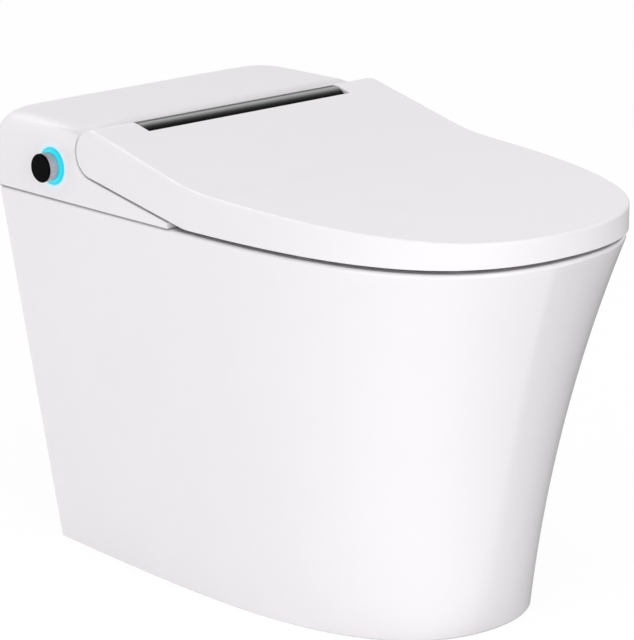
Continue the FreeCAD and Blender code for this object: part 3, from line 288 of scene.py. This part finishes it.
def make_skirt():
    """Outer and inner walls with a rounded rim, a bevelled foot and the opening in the rear."""
    levels = [RIM * step / LEVEL_STEPS for step in range(1, LEVEL_STEPS)]
    levels += [0.0, FOOT_BEVEL_HIGH, SERVICE_HIGH]
    outer = [level for level in sorted(set(levels)) if level <= RIM - RIM_ROUND]
    rings = [china_ring(level, FOOT_BEVEL_IN if level == 0 else 0.0) for level in outer]
    for step in range(ROUND_STEPS + 1):
        turn = math.radians(90 * step / ROUND_STEPS)
        level = RIM - RIM_ROUND * (1 - math.sin(turn))
        rings.append(china_ring(level, RIM_ROUND * (1 - math.cos(turn))))
    inner = [RIM, SERVICE_HIGH, INNER_LEVEL, SERVICE_LOW, 0.0]
    rings += [china_ring(level, CHINA_WALL) for level in inner]
    mesh = ring_mesh(rings, closed=True)
    opening = []
    for face in mesh.faces:
        middle = face.calc_center_median()
        if middle.y > FOOT["rear"] - 2 * CHINA_WALL and abs(middle.x) < SERVICE_HALF:
            if SERVICE_LOW < middle.z < SERVICE_HIGH:
                opening.append(face)
    bmesh.ops.delete(mesh, geom=opening, context="FACES")
    bmesh.ops.bridge_loops(mesh, edges=[edge for edge in mesh.edges if edge.is_boundary])
    bmesh.ops.recalc_face_normals(mesh, faces=mesh.faces)
    return even_normals(piece("china_skirt", mesh, GLAZE))


def smoothed(node, name, material):
    """A copy of a CAD node with its triangles joined, flat ones merged, and shaded smooth."""
    mesh = bmesh.new()
    mesh.from_mesh(frame["nodes"][node].data)
    bmesh.ops.remove_doubles(mesh, verts=mesh.verts, dist=JOIN_WITHIN)
    bmesh.ops.dissolve_degenerate(mesh, dist=JOIN_WITHIN, edges=mesh.edges)
    bmesh.ops.dissolve_limit(mesh, angle_limit=FLAT_WITHIN, verts=mesh.verts, edges=mesh.edges)
    return even_normals(piece(name, mesh, material))


fit(make_skirt(), "toilet_base", "china", "ceramic_skirt")
fit(smoothed("ceramic_deck", "china_deck", GLAZE), "toilet_base", "china", "ceramic_deck")
fit(smoothed("ceramic_bowl", "china_bowl", GLAZE), "toilet_base", "china", "ceramic_bowl")
fit(smoothed("ceramic_sump", "china_sump", GLAZE), "toilet_base", "china", "ceramic_sump")
fit(smoothed("trapway", "china_trapway", GLAZE), "toilet_base", "china", "trapway")


# Lid and seat. They are injection moulded in white plastic and polished outside. The lid's roll and the
# seat's lugs turn on the two damper pins.
def moulded_white():
    """Polished white plastic: less wet than the glaze, with a fine even grain."""
    finish = Finish("moulded_white")
    cloud = finish.noise(14, 2)
    grain = finish.noise(900, 1)
    return finish.surface(
        Base_Color=finish.blend(cloud, (0.855, 0.838, 0.853), (0.878, 0.860, 0.876)),
        Roughness=0.22 + cloud * 0.06,
        IOR=1.47,
        Normal=finish.relief(grain, 0.00003, 0.2),
    )


WHITE = moulded_white()
fit(smoothed("lid_shell", "lid", WHITE), "lid", "white_plastic", "lid_shell")
fit(smoothed("seat_top", "seat_upper_shell", WHITE), "seat", "white_plastic", "seat_top")
fit(smoothed("seat_base", "seat_lower_plate", WHITE), "seat", "white_plastic", "seat_base")


# Rear cover. It sits on the china rim, in a white that is more satin than the lid's. The light that the lit
# ring spills on its wall is painted into its colour and made to glow, and a thin painted shadow line at its
# foot parts it from the china.
KNOB_Y = 0.205
KNOB_Z = 0.435
RING_OUT = 0.0195
KNOB_WALL = -0.15
PAINTED_SPILL_REACH = 0.0024
GLOW_START = 0.001
GLOW_REACH = 0.012
COVER_FOOT = 0.4006
SHADOW_LINE = 0.0009


def knob_distance(finish):
    """How far a point of the surface is from the knob's axis."""
    place = finish.node("ShaderNodeTexCoord", output="Object")
    y = finish.along(place, (0, 1, 0)) - KNOB_Y
    z = finish.along(place, (0, 0, 1)) - KNOB_Z
    return (y ** 2 + z ** 2) ** 0.5


def cover_white():
    """Satin white with a painted cyan light spill and glow round the lit ring and a painted shadow line at
    its foot.
    """
    finish = Finish("cover_white")
    cloud = finish.noise(14, 2)
    grain = finish.noise(900, 1)
    distance = knob_distance(finish)
    outside = finish.node("ShaderNodeMath", {"operation": "LESS_THAN"},
                          {0: finish.along(finish.place(), (1, 0, 0)), 1: KNOB_WALL})
    # Painted light: next to the ring the base colour is painted cyan and the wall is made to glow, standing
    # in for the ring's spilled light.
    painted_spill = finish.fall(distance, RING_OUT, RING_OUT + PAINTED_SPILL_REACH) * outside
    painted_glow = finish.fall(distance, RING_OUT - GLOW_START, RING_OUT + GLOW_REACH) ** 2 * outside
    white = finish.blend(cloud, (0.868, 0.851, 0.866), (0.891, 0.873, 0.889))
    spill_painted_white = finish.node("ShaderNodeMix", {"data_type": "RGBA"},
                         {0: painted_spill, 6: white, 7: (0.42, 0.84, 0.90, 1)}, output=2)
    # Painted shade: a thin dark shadow line is painted along the cover's foot, where it meets the china.
    height = finish.along(finish.place(), (0, 0, 1))
    painted_shadow_line = finish.fall(height, COVER_FOOT, COVER_FOOT + SHADOW_LINE)
    shadow_painted_colour = finish.node("ShaderNodeMix", {"data_type": "RGBA"},
                        {0: painted_shadow_line, 6: spill_painted_white, 7: (0.26, 0.25, 0.26, 1)}, output=2)
    return finish.surface(
        Base_Color=shadow_painted_colour,
        Roughness=0.40 + cloud * 0.06,
        IOR=1.48,
        Emission_Color=finish.blend(painted_glow, (0, 0, 0), (0.0, 0.14, 0.18)),
        Emission_Strength=1.0,
        Normal=finish.relief(grain, 0.00003, 0.2),
    )


fit(smoothed("rear_cover", "rear_cover_shell", cover_white()), "toilet_base", "white_plastic", "rear_cover")


# Display barrel. A smoked tube between the lid arms, with the lamp board and the dampers inside.
# Its glossy coat is masked to a band along its upper front, a painted highlight, and the rest of it is left
# duller.
BARREL_Y = 0.1405
BARREL_RADIUS = 0.025
PAINTED_SHEEN_REAR = (0.02, 0.16)
PAINTED_SHEEN_FRONT = (0.34, 0.62)


def smoked_gloss():
    """Near-black plastic with a trace of polishing haze and a painted highlight band of glossy coat along its
    upper front.
    """
    finish = Finish("smoked_gloss")
    haze = finish.noise(40, 4, (1, 6, 6))
    # Painted highlight: the glossy coat is laid only on a band that puts the highlight along the upper front.
    forward = (BARREL_Y - finish.along(finish.place(), (0, 1, 0))) * (1 / BARREL_RADIUS)
    painted_sheen_band = (1 - finish.fall(forward, *PAINTED_SHEEN_REAR)) * finish.fall(forward, *PAINTED_SHEEN_FRONT)
    return finish.surface(
        Base_Color=finish.blend(haze, (0.001, 0.001, 0.001), (0.003, 0.003, 0.003)),
        Roughness=0.30 + haze * 0.1,
        IOR=1.2,
        Coat_Weight=painted_sheen_band,
        Coat_Roughness=0.07,
        Coat_IOR=3.2,
    )


fit(smoothed("display_barrel", "display_tube", smoked_gloss()), "toilet_base", "black_gloss",
    "display_barrel")


# Side knob. A turned aluminium barrel with fine ribs and a polished black cap stands in a lit ring. It
# turns and pushes in, and the ring stays on the cover.
KNOB_BASE = -0.2007
KNOB_LENGTH = 0.0114
KNOB_RADIUS = 0.0148
RIB_COUNT = 96
RIB_RADIUS = 0.0002
RIB_SINK = 0.00005
RIB_SHORT = 0.0008
RING_IN = 0.0152
RING_STEPS = 96
WEB_IN = 0.009
WEB_DEPTH = 0.0018
WEB_THICK = 0.0012


def lit_cyan():
    """A cyan light guide, brightest along its inner edge."""
    finish = Finish("lit_cyan")
    cloud = finish.noise(60, 2)
    inner = finish.fall(knob_distance(finish), RING_IN + 0.0008, RING_OUT - 0.0006)
    return finish.surface(
        Base_Color=finish.blend(cloud, (0.01, 0.09, 0.12), (0.02, 0.12, 0.15)),
        Roughness=0.3 + cloud * 0.1,
        Emission_Color=finish.blend(inner, (0.004, 0.50, 0.62), (0.02, 0.70, 0.85)),
        Emission_Strength=1.0,
    )


def lit_ring():
    """The light guide: a ring with rolled edges and a thin web behind the knob."""
    front = min(point.co.x for point in frame["nodes"]["led_ring"].data.vertices)
    back = max(point.co.x for point in frame["nodes"]["led_ring"].data.vertices)
    web_front = front + WEB_DEPTH
    web_back = web_front + WEB_THICK
    outer_roll = [(RING_OUT, front + 0.0006), (RING_OUT - 0.0003, front + 0.0001), (RING_OUT - 0.0008, front)]
    inner_roll = [(RING_IN + 0.0010, front), (RING_IN + 0.0003, front + 0.0003), (RING_IN, front + 0.0009)]
    web = [(RING_IN, web_front), (WEB_IN, web_front), (WEB_IN, web_back), (RING_IN, web_back)]
    section = [(RING_OUT, back)] + outer_roll + inner_roll + web + [(RING_IN, back)]
    turns = [math.tau * step / RING_STEPS for step in range(RING_STEPS)]
    rings = []
    for radius, along in section:
        rings.append([(along, KNOB_Y + radius * math.cos(turn), KNOB_Z + radius * math.sin(turn))
                      for turn in turns])
    mesh = ring_mesh(rings, closed=True)
    bmesh.ops.recalc_face_normals(mesh, faces=mesh.faces)
    return piece("lit_ring", mesh, lit_cyan())


def cap_black():
    """Polished black plastic with a trace of fine haze."""
    finish = Finish("knob_black")
    haze = finish.noise(40, 4, (1, 6, 6))
    return finish.surface(
        Base_Color=finish.blend(haze, (0.0005, 0.0005, 0.0005), (0.002, 0.002, 0.002)),
        Roughness=0.10 + haze * 0.04,
        IOR=1.10,
    )


def satin_metal(name, tint, grain_stretch):
    """Turned or rolled metal with fine lines along one way."""
    finish = Finish(name)
    lines = finish.noise(400, 3, grain_stretch)
    dark = tuple(0.88 * channel for channel in tint)
    return finish.surface(
        Base_Color=finish.blend(lines, dark, tint),
        Metallic=1.0,
        Roughness=0.28 + lines * 0.14,
        Normal=finish.relief(lines, 0.00002, 0.3),
    )


fit(lit_ring(), "toilet_base", "lit_ring", "led_ring")
fit(smoothed("knob_cap", "knob_face", cap_black()), "knob", "black_gloss", "knob_cap")
KNOB_METAL = satin_metal("turned_aluminium", (0.56, 0.56, 0.60), (0.1, 1, 1))
fit(smoothed("knob_barrel", "knob_body", KNOB_METAL), "knob", "knob_metal", "knob_barrel")


def grip_tree():
    """Geometry nodes that stand thin ribs in a ring and turn the ring to the knob's axis."""
    tree = bpy.data.node_groups.new("knob_grip", "GeometryNodeTree")
    tree.interface.new_socket("Geometry", in_out="OUTPUT", socket_type="NodeSocketGeometry")
    for name, kind in (("Rib count", "Int"), ("Ring radius", "Float"), ("Rib radius", "Float"),
                       ("Rib length", "Float"), ("Middle", "Vector"), ("Turn", "Vector")):
        tree.interface.new_socket(name, in_out="INPUT", socket_type="NodeSocket" + kind)
    sizes = tree.nodes.new("NodeGroupInput").outputs

    def step(kind, sockets, **settings):
        node = tree.nodes.new(kind)
        for name, setting in settings.items():
            setattr(node, name, setting)
        for name, content in sockets.items():
            if hasattr(content, "is_output"):
                tree.links.new(content, node.inputs[name])
            else:
                node.inputs[name].default_value = content
        return node.outputs[0] if node.outputs else None

    ring = step("GeometryNodeMeshCircle", {"Vertices": sizes["Rib count"], "Radius": sizes["Ring radius"]})
    rib = step("GeometryNodeMeshCylinder", {"Vertices": 6, "Radius": sizes["Rib radius"],
                                            "Depth": sizes["Rib length"]})
    ribs = step("GeometryNodeInstanceOnPoints", {"Points": ring, "Instance": rib})
    solid = step("GeometryNodeRealizeInstances", {"Geometry": ribs})
    turned = step("GeometryNodeTransform", {"Geometry": solid, "Translation": sizes["Middle"],
                                            "Rotation": sizes["Turn"]})
    coated = step("GeometryNodeSetMaterial", {"Geometry": turned, "Material": KNOB_METAL})
    step("NodeGroupOutput", {"Geometry": coated})
    return tree


def knob_grip():
    """Fine ribs round the knob for the fingers."""
    grip = piece("knob_grip", bmesh.new(), KNOB_METAL)
    ribs = grip.modifiers.new("ribs", "NODES")
    ribs.node_group = grip_tree()
    wanted = {
        "Rib count": RIB_COUNT,
        "Ring radius": KNOB_RADIUS - RIB_SINK,
        "Rib radius": RIB_RADIUS,
        "Rib length": KNOB_LENGTH - RIB_SHORT,
        "Middle": (KNOB_BASE - KNOB_LENGTH / 2, KNOB_Y, KNOB_Z),
        "Turn": (0, math.radians(90), 0),
    }
    for socket in ribs.node_group.interface.items_tree:
        if socket.in_out == "INPUT":
            ribs[socket.identifier] = wanted[socket.name]
    return settle(grip)


grip = knob_grip()
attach(grip, "knob")


# Hidden pieces inside the rear, under the lid and under the seat keep their CAD form and get the finish
# of what they are made of.
def moulded(name, tint, rough):
    """Plain moulded plastic or rubber with a fine spark-eroded grain."""
    finish = Finish(name)
    cloud = finish.noise(30, 2)
    grain = finish.noise(1400, 2)
    dark = tuple(0.9 * channel for channel in tint)
    return finish.surface(
        Base_Color=finish.blend(cloud, dark, tint),
        Roughness=rough + grain * 0.12,
        Normal=finish.relief(grain, 0.00004, 0.4),
    )


def circuit_board():
    """Green solder mask with a grid of paler tracks and tinned pads."""
    finish = Finish("circuit_board")
    tracks = finish.node("ShaderNodeTexBrick", {"offset": 0.35, "squash": 0.7},
                         {"Vector": finish.place(), "Scale": 90.0, "Mortar Size": 0.03,
                          "Color1": (0.02, 0.13, 0.06, 1), "Color2": (0.03, 0.16, 0.07, 1),
                          "Mortar": (0.09, 0.30, 0.14, 1)})
    gloss = finish.noise(200, 2)
    return finish.surface(Base_Color=tracks, Roughness=0.35 + gloss * 0.2)


FINISHES = {
    "inner_plastic": moulded("grey_moulding", (0.62, 0.62, 0.60), 0.45),
    "dark_plastic": moulded("dark_moulding", (0.030, 0.030, 0.034), 0.45),
    "rubber": moulded("pale_rubber", (0.55, 0.55, 0.54), 0.65),
    "steel": satin_metal("plain_steel", (0.60, 0.60, 0.61), (1, 0.1, 1)),
    "brass": satin_metal("turned_brass", (0.72, 0.53, 0.26), (1, 0.1, 1)),
    "copper_foil": satin_metal("heater_foil", (0.75, 0.43, 0.29), (1, 0.1, 1)),
    "circuit_board": circuit_board(),
    "white_plastic": WHITE,
}
for part in frame["record"]["subparts"]:
    if part["material_slot"] in FINISHES:
        node = frame["nodes"][part["node"]]
        node.data.materials.clear()
        node.data.materials.append(FINISHES[part["material_slot"]])


# Studio. A pale floor that runs out to white, a broad soft lamp at the front left, a weak one at the left
# and a small one overhead. The surround is dimmer on the right of the front, and the floor there carries
# painted shade and a painted shadow patch that bounced light and reflections see.
DIM_WAY = (0.90, -0.43, 0.0)
SHADE_EDGE = (0.586, 0.810, 0.0)
SHADE_RUN = (0.810, -0.586, 0.0)
UP = (0, 0, 1)
FLOOR_HALF = 12
FLOOR_CELLS = 8


def floor_white():
    """White floor that keeps a faint shadow under the object; for bounced light and reflections it carries
    painted shade towards the right and a painted shadow patch right of the front.
    """
    finish = Finish("studio_floor")
    place = finish.place()
    # Painted shade: the floor's colour darkens towards the right of the front, and a painted shadow patch
    # lies right of the front; only bounced light and reflections see them.
    share = finish.fall(finish.along(place, DIM_WAY), 0.02, 0.75)
    clear = finish.fall(finish.along(place, SHADE_EDGE), -0.27, -0.21)
    aside = finish.fall(finish.along(place, SHADE_RUN), -0.1, 0.15)
    painted_shadow_patch = (1 - clear) * (1 - aside)
    painted_floor_light = share * (1 - painted_shadow_patch * 0.7)
    matt = finish.node("ShaderNodeBsdfDiffuse", None,
                       {"Color": finish.blend(painted_floor_light, (0.25, 0.25, 0.25), (0.90, 0.90, 0.90))})
    shade = finish.node("ShaderNodeBsdfDiffuse", None, {"Color": (0.12, 0.12, 0.12, 1)})
    lift = finish.node("ShaderNodeEmission", None, {"Color": (1, 1, 1, 1), "Strength": 0.9})
    shown = finish.node("ShaderNodeAddShader", None, {0: shade, 1: lift})
    seen, mirrored, through = finish.rays()
    mixed = finish.node("ShaderNodeMixShader", None,
                        {0: seen + (mirrored + through) * (1 - painted_shadow_patch * 0.8), 1: matt, 2: shown})
    finish.node("ShaderNodeOutputMaterial", None, {"Surface": mixed})
    return finish.material


floor_mesh = bmesh.new()
bmesh.ops.create_grid(floor_mesh, x_segments=FLOOR_CELLS, y_segments=FLOOR_CELLS, size=FLOOR_HALF)
floor = piece("studio_floor", floor_mesh, floor_white())


class Surround(Finish):
    """The world's own node tree, built in the same way as a material."""

    def __init__(self, name):
        self.world = bpy.data.worlds.new(name)
        self.world.use_nodes = True
        self.nodes = self.world.node_tree.nodes
        self.links = self.world.node_tree.links
        self.nodes.clear()


def white_surround():
    """White to the eye and dimmer on the right of the front, with a dark zenith and a lamp in gloss."""
    finish = Surround("studio")
    way = finish.node("ShaderNodeTexCoord", output="Generated")
    share = finish.fall(finish.along(way, DIM_WAY), 0.5, 1.15)
    height = finish.along(way, UP)
    low = finish.fall(height, 0.5, 0.78)
    dome = finish.fall(height, 0.2, 0.9, 1.0, 0.7)
    light = finish.node("ShaderNodeBackground", None,
                        {"Color": (1.0, 0.985, 1.0, 1), "Strength": (0.46 + share * 0.48) * dome})
    across = finish.along(way, (1, 0, 0))
    behind = 1 - finish.fall(finish.along(way, (0, 1, 0)), 0.15, 0.30)
    above = 1 - finish.fall(height, 0.50, 0.64)
    lamp = (1 - finish.fall(across, -0.14, -0.02)) * finish.fall(across, 0.20, 0.34) * behind * above
    mirror = finish.node("ShaderNodeBackground", None,
                         {"Color": (1, 1, 1, 1), "Strength": 0.15 + share * low * 0.85 + lamp * 4.8})
    white = finish.node("ShaderNodeBackground", None, {"Color": (1, 1, 1, 1), "Strength": 1.0})
    seen, mirrored, through = finish.rays()
    lit = finish.node("ShaderNodeMixShader", None, {0: mirrored + through, 1: light, 2: mirror})
    mixed = finish.node("ShaderNodeMixShader", None, {0: seen, 1: lit, 2: white})
    finish.node("ShaderNodeOutputWorld", None, {"Surface": mixed})
    return finish.world


scene.world = white_surround()


def softbox(name, at, aim, width, height, power):
    """A rectangular soft lamp that points at a spot."""
    lamp = bpy.data.lights.new(name, "AREA")
    lamp.shape = "RECTANGLE"
    lamp.size = width
    lamp.size_y = height
    lamp.energy = power
    item = bpy.data.objects.new(name, lamp)
    item.location = at
    item.rotation_euler = (Vector(aim) - Vector(at)).to_track_quat("-Z", "Y").to_euler()
    scene.collection.objects.link(item)


softbox("front_box", (-0.8, -3.1, 1.4), (0, 0, 0.25), 2.4, 2.2, 39)
softbox("left_box", (-3.0, -0.6, 1.2), (0, 0, 0.25), 2.0, 2.0, 9)
softbox("top_box", (-0.3, -0.2, 3.0), (0, 0, 0.45), 0.6, 0.6, 2)

# Camera. It stands where the photograph was taken from, with the same long lens, worked out for a frame
# whose long side is as many pixels as the photograph's.
VIEWER_PLACE = (-2.385288, -2.502529, 1.218232)
TURN = math.radians(43.414)
DIP = math.radians(15.267)
IMAGE_LONG_SIDE = 640
FOCAL_PIXELS = 3461.849
camera = bpy.data.cameras.new("camera")
camera.sensor_width = 36
camera.lens = FOCAL_PIXELS * camera.sensor_width / IMAGE_LONG_SIDE
camera.clip_end = 40
viewer = bpy.data.objects.new("camera", camera)
viewer.location = VIEWER_PLACE
look = Vector((math.sin(TURN) * math.cos(DIP), math.cos(TURN) * math.cos(DIP), -math.sin(DIP)))
viewer.rotation_euler = look.to_track_quat("-Z", "Y").to_euler()
scene.collection.objects.link(viewer)
scene.camera = viewer
